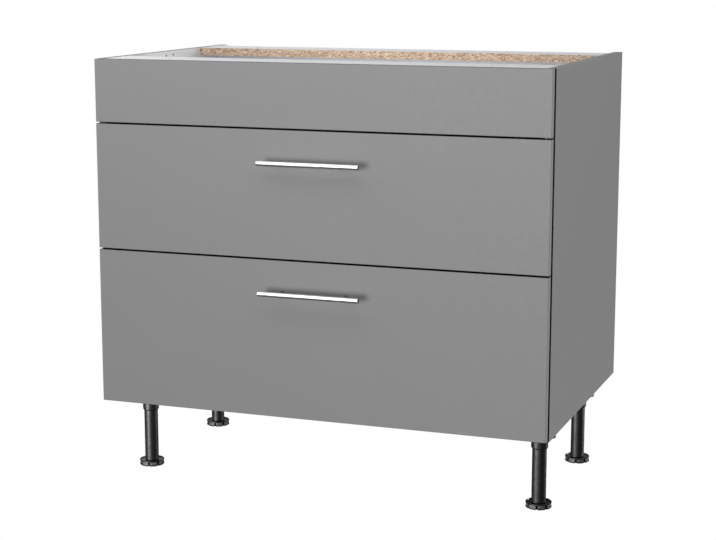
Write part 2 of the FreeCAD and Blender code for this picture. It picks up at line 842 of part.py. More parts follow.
    # back board, on the base
    back_low = base + D.wall_sheet + D.base_thick
    board = box_body(
        "drawer_back_" + name, 2 * base_half, D.board_thick, D.drawer_back_tall,
        -base_half, depth(base_deep + 0.2 - D.board_thick), tall(back_low),
    )
    drill(
        board, "XZ_Plane", -D.board_thick,
        [(x, z - D.wall_sheet - D.base_thick)
         for x in (foot_in, 2 * base_half - foot_in) for z in BACK_HEIGHTS],
        2.0, 12.0, True,
    )
    # seats for the rods' rear ends
    rod_in = 10.0
    drill(
        board, "XZ_Plane", None,
        [(x, D.rod_rise - D.wall_sheet - D.base_thick) for x in (rod_in, 2 * base_half - rod_in)],
        5.2, 8.0, False,
    )

    # brackets: a plate on the front's back, a tongue along the wall and a
    # socket for the gallery rod
    pieces = []
    for side, sign in SIDES:
        part = new_body("front_bracket_%s_%s" % (name, side), False)
        wide = 20.0

        def across(value, sign=sign, wide=wide):
            return size(value) if sign < 0 else size(wide - value)

        sketch = new_sketch(part, "XY_Plane")
        profile = [(across(0), size(0)), (across(wide), size(0)), (across(wide), size(1.5)),
                   (across(0), size(1.5))]
        draw_polygon(sketch, profile)
        pad(part, sketch, 176.0)
        sketch = new_sketch(part, "XY_Plane")
        draw_polygon(sketch, [(across(0), size(0)), (across(1.5), size(0)), (across(1.5), size(42)),
                              (across(0), size(42))])
        pad(part, sketch, 80.0)
        sketch = new_sketch(part, "XZ_Plane")
        draw_circle(sketch, across(rod_in), D.rod_rise - 20, 8.0)
        pad(part, sketch, 10.0, True)
        sketch = new_sketch(part, "XZ_Plane", -10.0)
        draw_circle(sketch, across(rod_in), D.rod_rise - 20, D.rod_radius + 0.2)
        pocket(part, sketch, 7.5, True, math.pi * 5.2 * 5.2 * 7.5)
        drill(part, "XZ_Plane", None,
              [(across(PLATE_IN - 0.2), size(z - 20)) for z in PLATE_HEIGHTS], 2.1, 1.5, False)
        x = -base_half if sign < 0 else base_half - wide
        place(part, x, depth(-D.front_gap), tall(base + 20))
        pieces.append(part)
    brackets = doc.addObject("Part::Compound", "front_brackets_" + name)
    brackets.Label = "front_brackets_" + name
    brackets.Links = pieces
    NODES.append(brackets)

    # gallery rods over the walls
    rod_front = size(1.0)
    rod_long = base_deep + 0.2 - D.board_thick + 7.5 - rod_front
    rod = new_body("gallery_rod_" + name, False)
    sketch = new_sketch(rod, "XZ_Plane")
    draw_circle(sketch, 0, 0, D.rod_radius)
    pad(rod, sketch, rod_long, True)
    group("gallery_rods_" + name, rod, [
        ((base_half - rod_in) * sign, depth(rod_front), tall(base + D.rod_rise), UPRIGHT)
        for side, sign in SIDES
    ])

    # screws: brackets to the front, walls to the base and to the back
    places = []
    for side, sign in SIDES:
        for z in PLATE_HEIGHTS:
            places.append((
                (wall_face - D.wall_sheet - PLATE_IN) * sign, depth(1.5 - D.front_gap),
                tall(base + z), TO_BACK,
            ))
        for y in BASE_SCREWS:
            places.append(((wall_face - 13) * sign, depth(y - 1.5), tall(base), DOWN))
        for z in BACK_HEIGHTS:
            places.append(((wall_face - 13) * sign, depth(D.wall_long - 1.5), tall(base + z), TO_BACK))
    group("drawer_screws_" + name, drawer_screw, places)

# ------------------------------------------------------------------ legs

# how far each foot happens to be screwed round
FOOT_TURN = {"front_left": 11.0, "front_right": 5.4, "rear_left": 8.4, "rear_right": 7.4}
DISH = 1.8                                      # depth of the foot's dished top
tube_low = D.foot_tall - DISH + 0.3             # the tube's end, in the foot's dish
thread_tall = 24.0
for row, y in ROWS:
    for side, sign in SIDES:
        where = "%s_%s" % (row, side)
        axis_x = (half - D.leg_inset) * sign

        # socket: screw plate with lobes, collar and ribs; its own origin is
        # on the leg's axis, at the plate's upper face
        socket = turned_body(
            "leg_socket_" + where,
            [(14.1, -D.collar_tall), (D.collar_radius - 1.4, -D.collar_tall),
             (D.collar_radius, 2.4 - D.collar_tall), (D.collar_radius, -D.plate_thick),
             (25.0, -D.plate_thick), (25.0, 0), (0, 0), (0, -D.plate_thick),
             (14.1, -D.plate_thick)],
        )
        lobes = [(out * sign, back) for out, back in LOBES]
        for lx, ly in lobes:
            # an arm from the middle out to each lobe
            length = math.hypot(lx, ly)
            ux, uy = lx / length, ly / length
            r = D.plate_lobe.value
            n = Vec(-uy * r, ux * r, 0)
            arm = new_sketch(socket, "XY_Plane")
            a0 = Vec(ux * 15, uy * 15, 0)
            a1 = Vec(lx, ly, 0)
            tip_point = a1 + Vec(ux * r, uy * r, 0)
            arm.addGeometry(Part.LineSegment(a0 + n, a0 - n), False)
            arm.addGeometry(Part.LineSegment(a0 - n, a1 - n), False)
            arm.addGeometry(Part.Arc(a1 - n, tip_point, a1 + n), False)
            arm.addGeometry(Part.LineSegment(a1 + n, a0 + n), False)
            for i in range(4):
                arm.addConstraint(Sketcher.Constraint("Block", i))
            pad(socket, arm, D.plate_thick, True)
        # ribs between plate and collar
        for lx, ly in lobes:
            length = math.hypot(lx, ly)
            ux, uy = lx / length, ly / length
            n = Vec(-uy * 1.2, ux * 1.2, 0)
            rib = new_sketch(socket, "XY_Plane", -D.plate_thick)
            a0 = Vec(ux * 15.2, uy * 15.2, 0)
            a1 = Vec(ux * 24.0, uy * 24.0, 0)
            corners = [a0 + n, a0 - n, a1 - n, a1 + n]
            for i in range(4):
                rib.addGeometry(Part.LineSegment(corners[i], corners[(i + 1) % 4]), False)
            for i in range(4):
                rib.addConstraint(Sketcher.Constraint("Block", i))
            pad(socket, rib, 20.0, True)
        # screw holes in the three lobes
        holes = new_sketch(socket, "XY_Plane", -D.plate_thick)
        for hx, hy in lobes:
            index = holes.addGeometry(Part.Circle(Vec(hx, hy, 0), Vec(0, 0, 1), 2.0), False)
            holes.addConstraint(Sketcher.Constraint("Block", index))
        pocket(socket, holes, D.plate_thick, True, None)
        place(socket, axis_x, depth(y), tall(0))

        # tube: pushed up into the collar, threaded bush at its foot
        tube = turned_body(
            "leg_tube_" + where,
            [(5.1, tube_low), (D.tube_radius - 0.6, tube_low), (D.tube_radius, tube_low + 0.6),
             (D.tube_radius, D.leg_tall - D.plate_thick - 0.6),
             (D.tube_bore, D.leg_tall - D.plate_thick - 0.6),
             (D.tube_bore, tube_low + thread_tall), (5.1, tube_low + thread_tall)],
        )
        place(tube, axis_x, depth(y), 0)

        # foot: disc with a flange, a waist and a lip, a dished top, lever
        # notches in the waist and a stem
        foot = turned_body(
            "foot_" + where,
            [(0, 0), (D.foot_radius - 1.0, 0), (D.foot_radius, 0.8), (D.foot_radius, 1.9),
             (D.foot_radius - 0.8, 2.5), (D.foot_radius - 0.8, 8.3), (D.foot_radius, 8.9),
             (D.foot_radius, D.foot_tall - 0.5), (D.foot_radius - 0.5, D.foot_tall),
             (D.foot_radius - 1.9, D.foot_tall), (D.foot_radius - 2.6, D.foot_tall - DISH),
             (D.stem_radius, D.foot_tall - DISH), (D.stem_radius, D.foot_tall + D.stem_tall - 1),
             (D.stem_radius - 1, D.foot_tall + D.stem_tall), (0, D.foot_tall + D.stem_tall)],
        )
        notch = new_sketch(foot, "XY_Plane")
        for k in range(8):
            angle = math.radians(45 * k + FOOT_TURN[where])
            radial = Vec(math.cos(angle), math.sin(angle), 0)
            across = Vec(-math.sin(angle), math.cos(angle), 0)
            inner_r, outer_r = D.foot_radius.value - 4.2, D.foot_radius.value + 2.0
            corners = [
                radial * inner_r - across * 2.1, radial * outer_r - across * 2.1,
                radial * outer_r + across * 2.1, radial * inner_r + across * 2.1,
            ]
            first = notch.GeometryCount
            for i in range(4):
                notch.addGeometry(Part.LineSegment(corners[i], corners[(i + 1) % 4]), False)
            for i in range(4):
                notch.addConstraint(Sketcher.Constraint("Block", first + i))
        pocket(foot, notch, 8.2, True, None)
        place(foot, axis_x, depth(y), 0)

# ------------------------------------------------------ test and write

doc.recompute()
problems = []
for item in doc.Objects:
    if "Invalid" in item.State or "Error" in item.State:
        problems.append("%s is %s" % (item.Label, item.State))
for body, before, feature, removed in CUTS:
    if feature.Shape.isNull() or before is None:
        problems.append("%s: a cut has no shape" % body.Label)
        continue
    gone = before.Shape.Volume - feature.Shape.Volume
    if gone < 0.5 or (removed is not None and abs(gone - removed) > 0.02 * removed + 0.5):
        problems.append("%s: %s took %.1f, not %s" % (body.Label, feature.Label, gone, removed))
for item in NODES:
    if item.Shape.isNull() or not item.Shape.isValid():
        problems.append("%s has no valid shape" % item.Label)
    for solid in item.Shape.Solids:
        if not solid.isClosed() or solid.Volume <= 0:
            problems.append("%s has an open solid" % item.Label)
labels = [item.Label for item in NODES]
if len(set(labels)) != len(labels):
    problems.append("labels repeat")
if len(NODES) > 60:
    problems.append("%d sub-parts" % len(NODES))
if problems:
    raise RuntimeError("; ".join(problems))

os.makedirs("parts", exist_ok=True)
for item in NODES:
    item.Shape.exportStep(os.path.join("parts", item.Label + ".step"))
print("%d sub-parts written" % len(NODES))
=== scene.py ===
import json
import math

import bpy
from mathutils import Matrix, Vector


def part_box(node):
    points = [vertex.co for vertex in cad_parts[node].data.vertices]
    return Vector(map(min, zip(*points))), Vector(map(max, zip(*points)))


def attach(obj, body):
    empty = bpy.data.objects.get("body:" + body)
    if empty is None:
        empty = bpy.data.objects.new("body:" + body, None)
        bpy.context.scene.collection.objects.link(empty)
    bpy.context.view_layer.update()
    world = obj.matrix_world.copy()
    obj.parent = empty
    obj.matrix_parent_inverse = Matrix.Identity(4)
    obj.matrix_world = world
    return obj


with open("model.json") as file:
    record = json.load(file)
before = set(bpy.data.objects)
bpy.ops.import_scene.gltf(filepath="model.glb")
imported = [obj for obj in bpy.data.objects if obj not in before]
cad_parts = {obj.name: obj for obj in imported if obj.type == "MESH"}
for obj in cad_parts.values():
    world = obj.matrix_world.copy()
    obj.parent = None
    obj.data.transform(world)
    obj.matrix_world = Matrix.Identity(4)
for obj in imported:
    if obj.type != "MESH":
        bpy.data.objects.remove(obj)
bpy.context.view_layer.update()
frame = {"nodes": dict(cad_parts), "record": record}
NODES = frame["nodes"]

SCENE = bpy.context.scene
SCENE.view_settings.view_transform = "Standard"
SCENE.view_settings.look = "None"
SCENE.view_settings.exposure = 0.0
SCENE.view_settings.gamma = 1.0
SCENE.cycles.sample_clamp_indirect = 6.0
SCENE.cycles.max_bounces = 10
SCENE.cycles.diffuse_bounces = 5


# ------------------------------------------------------------------ camera
YAW, PITCH = 0.35207, 0.18062          # turned to the left, tilted down, in radians
EYE = Vector((1.15564, -3.17963, 1.02108))


def make_camera():
    data = bpy.data.cameras.new("camera")
    data.sensor_fit = "HORIZONTAL"
    data.sensor_width = 36.0
    data.lens = 1708.55 / 716.0 * 36.0
    data.clip_start, data.clip_end = 0.05, 200.0
    data.dof.use_dof = False
    forward = Vector((-math.sin(YAW) * math.cos(PITCH), math.cos(YAW) * math.cos(PITCH), -math.sin(PITCH)))
    right = Vector((math.cos(YAW), math.sin(YAW), 0.0))
    up = right.cross(forward)
    turn = Matrix((right, up, -forward)).transposed().to_4x4()
    cam = bpy.data.objects.new("camera", data)
    cam.matrix_world = Matrix.Translation(EYE) @ turn
    SCENE.collection.objects.link(cam)
    SCENE.camera = cam


make_camera()


# ------------------------------------------------------------------ node graph helpers
class Graph:
    """A material's node tree, with short calls for the nodes used below."""

    def __init__(self, name):
        self.material = bpy.data.materials.new(name)
        self.material.use_nodes = True
        self.tree = self.material.node_tree
        self.tree.nodes.clear()
        self.out = self.add("ShaderNodeOutputMaterial")
        self.coord = self.add("ShaderNodeTexCoord").outputs["Object"]

    def add(self, kind, **values):
        node = self.tree.nodes.new(kind)
        for key, value in values.items():
            setattr(node, key, value)
        return node

    def link(self, source, target):
        self.tree.links.new(source, target)

    def put(self, socket, value):
        if isinstance(value, bpy.types.NodeSocket):
            self.link(value, socket)
        else:
            socket.default_value = value

    def stretched(self, x, y, z):
        node = self.add("ShaderNodeMapping")
        self.link(self.coord, node.inputs["Vector"])
        node.inputs["Scale"].default_value = (x, y, z)
        return node.outputs["Vector"]

    def noise(self, scale, detail=2.0, rough=0.5, vector=None, distort=0.0):
        node = self.add("ShaderNodeTexNoise")
        self.link(vector or self.coord, node.inputs["Vector"])
        node.inputs["Scale"].default_value = scale
        node.inputs["Detail"].default_value = detail
        node.inputs["Roughness"].default_value = rough
        node.inputs["Distortion"].default_value = distort
        return node.outputs["Fac"]

    def cells(self, scale, output="Color", feature="F1", vector=None, spread=1.0):
        node = self.add("ShaderNodeTexVoronoi", feature=feature)
        self.link(vector or self.coord, node.inputs["Vector"])
        node.inputs["Scale"].default_value = scale
        if feature != "DISTANCE_TO_EDGE":
            node.inputs["Randomness"].default_value = spread
        return node.outputs[output]

    def ramp(self, fac, *stops):
        node = self.add("ShaderNodeValToRGB")
        self.link(fac, node.inputs["Fac"])
        band = node.color_ramp
        while len(band.elements) < len(stops):
            band.elements.new(0.5)
        for element, (place, colour) in zip(band.elements, stops):
            element.position = place
            element.color = (*colour, 1.0) if len(colour) == 3 else colour
        return node.outputs["Color"]

    def range(self, value, low, high, start=0.0, end=1.0):
        node = self.add("ShaderNodeMapRange")
        self.link(value, node.inputs["Value"])
        node.inputs["From Min"].default_value = start
        node.inputs["From Max"].default_value = end
        node.inputs["To Min"].default_value = low
        node.inputs["To Max"].default_value = high
        return node.outputs["Result"]

    def mix(self, fac, a, b, blend="MIX"):
        node = self.add("ShaderNodeMix", data_type="RGBA", blend_type=blend)
        self.put(node.inputs[0], fac)
        self.put(node.inputs[6], a if not isinstance(a, tuple) else (*a, 1.0))
        self.put(node.inputs[7], b if not isinstance(b, tuple) else (*b, 1.0))
        return node.outputs[2]

    def math(self, operation, a, b=0.0):
        node = self.add("ShaderNodeMath", operation=operation)
        self.put(node.inputs[0], a)
        self.put(node.inputs[1], b)
        return node.outputs[0]

    def enclosed(self, distance, full, none):
        """1 where the surface faces another one closely, 0 where it lies open."""
        node = self.add("ShaderNodeAmbientOcclusion", samples=12)
        node.inputs["Distance"].default_value = distance
        return self.range(node.outputs["AO"], 1.0, 0.0, full, none)

    def bump(self, height, distance, strength=1.0, after=None):
        node = self.add("ShaderNodeBump")
        node.inputs["Strength"].default_value = strength
        node.inputs["Distance"].default_value = distance
        self.link(height, node.inputs["Height"])
        if after is not None:
            self.link(after, node.inputs["Normal"])
        return node.outputs["Normal"]

    def surface(self, colour, rough, normal=None, **constants):
        shader = self.add("ShaderNodeBsdfPrincipled")
        self.put(shader.inputs["Base Color"], colour)
        self.put(shader.inputs["Roughness"], rough)
        if normal is not None:
            self.link(normal, shader.inputs["Normal"])
        for key, value in constants.items():
            shader.inputs[key.replace("_", " ")].default_value = value
        self.link(shader.outputs["BSDF"], self.out.inputs["Surface"])
        return self.material


# ------------------------------------------------------------------ finishes
def melamine(name, colour, rough, spread=0.012, painted_shade=None, gloss=0.40):
    """Melamine-faced board: an even colour with a faint cloud and the fine pearl of the press plate.
    The optional mask function gives where painted shade, a near-black band, is laid along the board's edge to stand in
    for the shadow in a narrow gap."""
    g = Graph(name)
    cloud = g.noise(3.1, 3.0, 0.55)
    fine = g.noise(1400.0, 3.0, 0.65)
    dark = tuple(c * (1.0 - spread) for c in colour)
    light = tuple(c * (1.0 + spread) for c in colour)
    base = g.ramp(cloud, (0.30, dark), (0.70, light))
    base = g.mix(0.06, base, g.ramp(fine, (0.35, tuple(c * 0.80 for c in colour)), (0.65, tuple(c * 1.20 for c in colour))))
    roughness = g.range(g.noise(260.0, 2.0), rough - 0.05, rough + 0.05, 0.3, 0.7)
    pearl = g.bump(g.noise(900.0, 2.0, 0.6), 0.000016, 0.9)
    normal = g.bump(g.noise(95.0, 1.0), 0.000030, 0.5, pearl)
    if painted_shade is not None:
        # painted shade: where the mask is set, the colour goes near-black and the surface rough, standing in for the
        # shadow in a gap
        shade_mask = painted_shade(g)
        base = g.mix(shade_mask, base, (0.0035, 0.0035, 0.0037))
        roughness = g.math("MAXIMUM", roughness, g.math("MULTIPLY", shade_mask, 0.85))
    return g.surface(base, roughness, normal, Specular_IOR_Level=gloss)


FRONT_PLANE, OUTER = -0.2565, 0.450             # the carcass's front edges and outer faces


def painted_shade_on_edge(g):
    """Painted shade on the outer 3 mm of a side panel's front edge, where the shadow gap beside a closed front is."""
    axes = g.add("ShaderNodeSeparateXYZ")
    g.link(g.coord, axes.inputs[0])
    shade_mask = g.range(g.math("ABSOLUTE", axes.outputs["X"]), 0.0, 1.0, OUTER - 0.0031, OUTER - 0.0028)
    return g.math("MULTIPLY", shade_mask, g.enclosed(0.014, 0.84, 0.97))


def painted_shade_between(g):
    """Painted deep shade on a front's upper and lower edge while the next front is close to it."""
    return g.enclosed(0.008, 0.72, 0.94)


def painted_shade_on_face(g):
    """Painted shade on the first millimetre of a side panel's outer face, round the same corner."""
    axes = g.add("ShaderNodeSeparateXYZ")
    g.link(g.coord, axes.inputs[0])
    return g.range(axes.outputs["Y"], 1.0, 0.0, FRONT_PLANE + 0.0010, FRONT_PLANE + 0.0012)


def painted_shade_on_front(g):
    """Painted shade on the rear of a front board's side edges, deep in the same gap."""
    axes = g.add("ShaderNodeSeparateXYZ")
    g.link(g.coord, axes.inputs[0])
    return g.range(axes.outputs["Y"], 0.0, 1.0, FRONT_PLANE - 0.0040, FRONT_PLANE - 0.0036)


def raw_chipboard(name, shade=1.0):
    """The cut edge of chipboard: pressed chips of many woods, lying flat, with small dark gaps between them."""
    g = Graph(name)
    lie = g.stretched(0.62, 0.62, 1.0)
    shift = g.add("ShaderNodeVectorMath", operation="SCALE")
    spin = g.add("ShaderNodeTexNoise")
    g.link(lie, spin.inputs["Vector"])
    spin.inputs["Scale"].default_value = 260.0
    spin.inputs["Detail"].default_value = 2.0
    g.link(spin.outputs["Color"], shift.inputs[0])
    shift.inputs["Scale"].default_value = 0.0020
    chips = g.add("ShaderNodeVectorMath", operation="ADD")
    g.link(lie, chips.inputs[0])
    g.link(shift.outputs[0], chips.inputs[1])
    place = chips.outputs[0]

    def wood(r, gr, b):
        return (r * shade, gr * shade, b * shade)

    coarse = g.add("ShaderNodeSeparateColor")
    g.link(g.cells(360.0, "Color", vector=place), coarse.inputs[0])
    small = g.add("ShaderNodeSeparateColor")
    g.link(g.cells(760.0, "Color", vector=place), small.inputs[0])
    tone = g.ramp(coarse.outputs[0],
                  (0.00, wood(0.17, 0.095, 0.055)), (0.13, wood(0.30, 0.18, 0.115)), (0.26, wood(0.52, 0.36, 0.25)),
                  (0.62, wood(0.62, 0.455, 0.335)), (0.86, wood(0.80, 0.64, 0.50)), (1.00, wood(0.92, 0.79, 0.65)))
    tint = g.ramp(small.outputs[1],
                  (0.00, wood(0.13, 0.070, 0.040)), (0.20, wood(0.40, 0.255, 0.165)), (0.55, wood(0.62, 0.46, 0.34)),
                  (1.00, wood(0.90, 0.76, 0.62)))
    base = g.mix(0.40, tone, tint)
    base = g.mix(g.range(g.noise(45.0, 3.0, 0.6, lie), 0.0, 0.30, 0.40, 0.75), base, wood(0.50, 0.345, 0.245))
    gap = g.cells(360.0, "Distance", "DISTANCE_TO_EDGE", place)
    base = g.mix(g.range(gap, 0.65, 0.0, 0.0, 0.040), base, wood(0.12, 0.070, 0.042))
    normal = g.bump(gap, 0.00035, 0.40)
    normal = g.bump(small.outputs[0], 0.00015, 0.35, normal)
    return g.surface(base, 0.88, normal, Specular_IOR_Level=0.18)


def fibreboard(name):
    """The uncoated brown back of thin hardboard."""
    g = Graph(name)
    fibre = g.noise(900.0, 4.0, 0.7, g.stretched(0.35, 1.0, 1.0))
    cloud = g.noise(12.0, 4.0, 0.6)
    base = g.ramp(fibre, (0.30, (0.205, 0.128, 0.078)), (0.52, (0.285, 0.186, 0.118)), (0.75, (0.375, 0.262, 0.175)))
    base = g.mix(g.range(cloud, 0.0, 0.35, 0.35, 0.70), base, (0.235, 0.150, 0.095))
    press = g.cells(620.0, "Distance", vector=g.stretched(1.0, 1.0, 1.0), spread=0.15)
    normal = g.bump(press, 0.00010, 0.35)
    normal = g.bump(fibre, 0.00006, 0.5, normal)
    return g.surface(base, 0.80, normal, Specular_IOR_Level=0.25)


def brushed(name, colour, rough, along, grain=0.00002):
    """Satin steel, ground in fine lines along one axis."""
    g = Graph(name)
    fine, short = 2600.0, 26.0
    scale = [fine] * 3
    scale["xyz".index(along)] = short
    lines = g.noise(1.0, 4.0, 0.65, g.stretched(*scale))
    base = g.ramp(lines, (0.30, tuple(c * 0.90 for c in colour)), (0.70, colour))
    roughness = g.range(g.noise(1.0, 3.0, 0.6, g.stretched(*[s * 0.6 for s in scale])), rough - 0.05, rough + 0.07, 0.3, 0.7)
    normal = g.bump(lines, grain, 0.5)
    return g.surface(base, roughness, normal, Metallic=1.0)


def zinc(name, colour, rough, spangle=0.16):
    """Zinc plated steel with a faint crystal pattern."""
    g = Graph(name)
    split = g.add("ShaderNodeSeparateColor")
    g.link(g.cells(210.0, "Color"), split.inputs[0])
    base = g.ramp(split.outputs[0], (0.0, tuple(c * (1.0 - spangle) for c in colour)), (1.0, colour))
    base = g.mix(g.range(g.noise(60.0, 4.0, 0.6), 0.0, 0.20, 0.4, 0.7), base, tuple(c * 0.80 for c in colour))
    roughness = g.range(g.noise(320.0, 3.0), rough - 0.06, rough + 0.10, 0.3, 0.7)
    normal = g.bump(g.noise(700.0, 3.0), 0.00002, 0.4)
    return g.surface(base, roughness, normal, Metallic=1.0)


def coated(name, colour, rough):
    """Powder-coated steel with a light orange peel."""
    g = Graph(name)
    base = g.ramp(g.noise(5.0, 3.0), (0.30, tuple(c * 0.985 for c in colour)), (0.70, colour))
    speck = g.noise(1900.0, 2.0, 0.6)
    base = g.mix(0.08, base, g.ramp(speck, (0.35, tuple(c * 0.75 for c in colour)), (0.65, tuple(min(1.0, c * 1.2) for c in colour))))
    roughness = g.range(g.noise(300.0, 2.0), rough - 0.05, rough + 0.05, 0.3, 0.7)
    peel = g.bump(g.noise(620.0, 2.0, 0.5), 0.000035, 0.6)
    return g.surface(base, roughness, peel, Specular_IOR_Level=0.5)


def moulded(name, colour, rough, gloss=0.5):
    """Black moulded plastic with a fine spark-eroded grain."""
    g = Graph(name)
    grain = g.noise(1700.0, 3.0, 0.6)
    base = g.ramp(g.noise(40.0, 4.0, 0.6), (0.30, tuple(c * 0.85 for c in colour)), (0.70, tuple(c * 1.2 for c in colour)))
    roughness = g.range(g.noise(220.0, 3.0, 0.6), rough - 0.06, rough + 0.07, 0.3, 0.7)
    normal = g.bump(grain, 0.00003, 0.55)
    return g.surface(base, roughness, normal, Specular_IOR_Level=gloss)


def beech(name):
    g = Graph(name)
    grain = g.noise(1.0, 4.0, 0.6, g.stretched(60.0, 900.0, 900.0), 0.4)
    base = g.ramp(grain, (0.28, (0.43, 0.27, 0.15)), (0.50, (0.62, 0.43, 0.27)), (0.74, (0.71, 0.53, 0.36)))
    return g.surface(base, g.range(grain, 0.55, 0.75), g.bump(grain, 0.00006, 0.5), Specular_IOR_Level=0.3)


def clear_rubber(name):
    g = Graph(name)
    base = g.ramp(g.noise(300.0, 2.0), (0.3, (0.78, 0.79, 0.79)), (0.7, (0.86, 0.87, 0.87)))
    rough = g.range(g.noise(900.0, 2.0), 0.24, 0.36, 0.3, 0.7)
    return g.surface(base, rough, g.bump(g.noise(500.0, 2.0), 0.00003, 0.4), Transmission_Weight=0.55, IOR=1.45)


FINISH = {
    "board_grey": melamine("board_grey", (0.290, 0.290, 0.291), 0.50),
    "board_light": melamine("board_light", (0.735, 0.740, 0.755), 0.46),
    "hardboard_light": melamine("hardboard_light", (0.710, 0.718, 0.740), 0.55),
    "steel_zinc": zinc("steel_zinc", (0.66, 0.66, 0.65), 0.34),
    "zinc_cast": zinc("zinc_cast", (0.52, 0.52, 0.53), 0.48, 0.05),
    "handle_steel": brushed("handle_steel", (0.90, 0.90, 0.89), 0.28, "x"),
    "steel_bright": zinc("steel_bright", (0.70, 0.71, 0.72), 0.30),
    "steel_light_grey": coated("steel_light_grey", (0.62, 0.63, 0.64), 0.42),
    "plastic_black": moulded("plastic_black", (0.0060, 0.0060, 0.0063), 0.34),
    "dowel_wood": beech("dowel_wood"),
    "bumper_rubber": clear_rubber("bumper_rubber"),
}
CHIPBOARD = raw_chipboard("chipboard_raw")
# painted shade: the walls of bored holes get chipboard darkened to 22 %, for the shade inside the holes
CHIPBOARD_BORE_SHADE = raw_chipboard("chipboard_bore_shade", 0.22)
# the side panels' outer grey, with painted shade on the first millimetre at the front corner
SIDE_FACE = melamine("board_grey_side", (0.290, 0.290, 0.291), 0.50, painted_shade=painted_shade_on_face)
# matte grey edge tape, with painted shade on the outer 3 mm of the front edge while a front is close
EDGE_TAPE = melamine("edge_tape_grey", (0.255, 0.255, 0.256), 0.72, painted_shade=painted_shade_on_edge, gloss=0.12)
# a front's side edges: a lighter grey than the face as painted light, with painted shade at the rear of the edge
FRONT_SIDE = melamine("board_grey_edge", (0.330, 0.330, 0.331), 0.55, painted_shade=painted_shade_on_front, gloss=0.20)
# painted shade: a dark grey on the rounded corners between a front's face and its side edges
FRONT_CORNER_SHADE = melamine("board_grey_corner_shade", (0.150, 0.150, 0.151), 0.60, gloss=0.20)
FRONT_TOP = melamine("edge_tape_top", (0.215, 0.215, 0.216), 0.74, gloss=0.10)
# matte grey edge tape on the fronts' upper and lower edges, with painted deep shade while the next front is close
FRONT_EDGE_SHADE = melamine("edge_tape_painted_shade", (0.215, 0.215, 0.216), 0.74, painted_shade=painted_shade_between, gloss=0.06)
# painted shade: near-black for the sheet behind the upper seam
GAP_SHADE_SHEET = melamine("gap_shade_sheet_black", (0.008, 0.008, 0.0081), 0.90, gloss=0.05)
# painted shade: dark steel on the bar's end faces, for the shaded panel they reflect
HANDLE_END_SHADE = brushed("handle_steel_end_shade", (0.30, 0.30, 0.30), 0.46, "z")
# painted shade: dark steel on the handle posts, which sit in the bar's shadow
HANDLE_POST_SHADE = brushed("handle_steel_post_shade", (0.34, 0.34, 0.34), 0.40, "x")
FIBREBOARD = fibreboard("hardboard_back")
# painted shade: near-black matte plastic in the feet's notches, grooves and bottom edge
FOOT_RECESS_SHADE = moulded("plastic_black_recess_shade", (0.0012, 0.0012, 0.0012), 0.80, 0.05)
# painted light: the feet's waist band is a lighter, less glossy copy of the black plastic, to look evenly lit
FOOT_WAIST_LIT = moulded("plastic_black_waist_lit", (0.052, 0.052, 0.0525), 0.50, 0.32)

SLOT_OF = {s["node"]: s["material_slot"] for s in frame["record"]["subparts"]}
for name, obj in NODES.items():
    obj.data.materials.clear()
    obj.data.materials.append(FINISH[SLOT_OF[name]])


def second(name, material, test):
    """Gives the faces of a node that pass the test a second finish."""
    mesh = NODES[name].data
    mesh.materials.append(material)
    index = len(mesh.materials) - 1
    for face in mesh.polygons:
        if test(face.center, face.normal):
            face.material_index = index


def inside(name, margin=0.0013):
    """A test for faces that lie inside a board's box: the walls of its holes, slots and pockets."""
    lo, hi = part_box(name)

    def test(c, n):
        return all(lo[i] + margin < c[i] < hi[i] - margin for i in range(3))
    return test


def near(value, target, slack=0.0004):
    return abs(value - target) < slack


for name in ("side_panel_left", "side_panel_right"):
    lo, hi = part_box(name)
    inner = hi.x if name.endswith("left") else lo.x
    second(name, SIDE_FACE, lambda c, n: not near(c.x, inner) and abs(n.x) > 0.93)
    second(name, FINISH["board_light"], lambda c, n: near(c.x, inner) and abs(n.x) > 0.5)
    # painted shade on the walls of the bored holes
    second(name, CHIPBOARD_BORE_SHADE, inside(name))
    second(name, CHIPBOARD, lambda c, n: near(c.y, hi.y) or near(c.z, lo.z))
    second(name, EDGE_TAPE, lambda c, n: near(c.z, hi.z) or (c.y < lo.y + 0.0012 and abs(n.x) <= 0.93))
for name in ("front_rail", "rear_rail"):
    lo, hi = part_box(name)
    second(name, CHIPBOARD_BORE_SHADE, inside(name))
    second(name, CHIPBOARD, lambda c, n: near(c.y, lo.y) or near(c.y, hi.y))
for name in ("bottom_panel",):
    lo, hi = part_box(name)
    second(name, CHIPBOARD, inside(name))
    second(name, CHIPBOARD, lambda c, n: near(c.y, hi.y))
for name in NODES:
    if name.startswith(("drawer_front_", "drawer_base_", "drawer_back_")) or name == "top_fascia":
        second(name, CHIPBOARD, inside(name))
for name in ("drawer_front_upper", "drawer_front_lower", "top_fascia"):
    lo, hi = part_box(name)
    # painted shade on the rounded corners between the face and the side edges
    second(name, FRONT_CORNER_SHADE, lambda c, n: c.y < lo.y + 0.0012 and 0.40 < abs(n.x) < 0.93 and n.y < -0.10)
    second(name, FRONT_SIDE, lambda c, n: abs(n.x) > 0.9 and (near(c.x, lo.x) or near(c.x, hi.x)))
    # painted shade on the upper and lower edges and their roundings
    second(name, FRONT_EDGE_SHADE, lambda c, n: abs(n.z) > 0.55 and (c.z < lo.z + 0.0012 or c.z > hi.z - 0.0012))
second("top_fascia", FRONT_TOP, lambda c, n, z=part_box("top_fascia")[1].z: abs(n.z) > 0.35 and c.z > z - 0.0012)
for name in ("handle_upper", "handle_lower"):
    lo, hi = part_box(name)
    # painted shade on the posts
    second(name, HANDLE_POST_SHADE, lambda c, n: c.y > lo.y + 0.0094 and abs(abs(c.x) - 0.064) < 0.0045)
    # painted shade on the bar's end faces
    second(name, HANDLE_END_SHADE, lambda c, n: abs(n.x) > 0.9 and abs(abs(c.x) - hi.x) < 0.0004)
